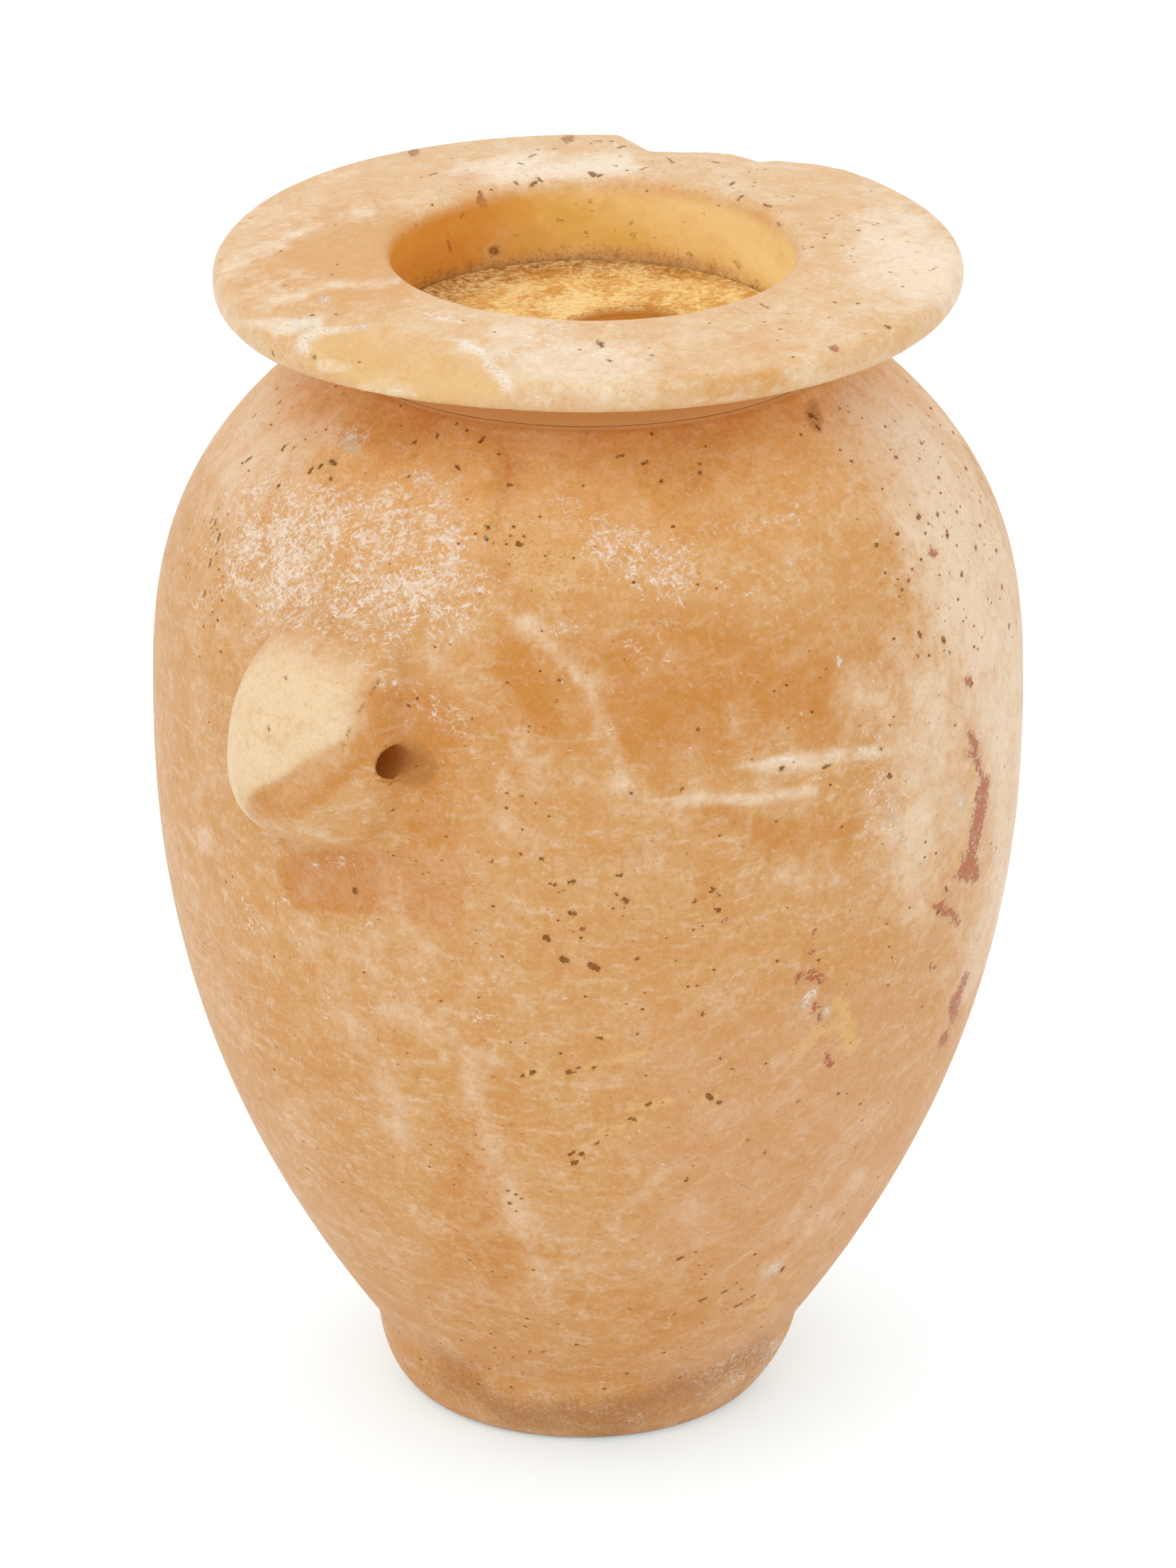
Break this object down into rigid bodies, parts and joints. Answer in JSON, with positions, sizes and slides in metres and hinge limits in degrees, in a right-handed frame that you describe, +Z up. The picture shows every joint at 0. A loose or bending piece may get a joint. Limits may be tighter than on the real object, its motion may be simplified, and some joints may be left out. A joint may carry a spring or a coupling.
{
  "type": "egyptian stone vase",
  "caption": "Shouldered travertine jar with a wide flat rim ring, pierced side lugs and a low foot, for holding and hanging unguents.",
  "frame": {"origin": "middle of the flat sole of the foot, on the surface that the jar stands on", "axes": "+Z up along the jar's own axis, +X through one lug and -X through the other, +Y along the lugs' string holes"},
  "size_m": [0.1664, 0.1428, 0.2],
  "materials": {
    "body_travertine": "worn polish, honey coloured with pale clouds and brown pits",
    "rim_travertine": "worn polish, pale cream with a translucent golden mouth",
    "bedding_resin": "matt, dark hardened mortar"
  },
  "bodies": {
    "root": {"vessel_body": "body_travertine", "rim_bedding": "bedding_resin", "rim_ring": "rim_travertine"}
  },
  "joints": []
}
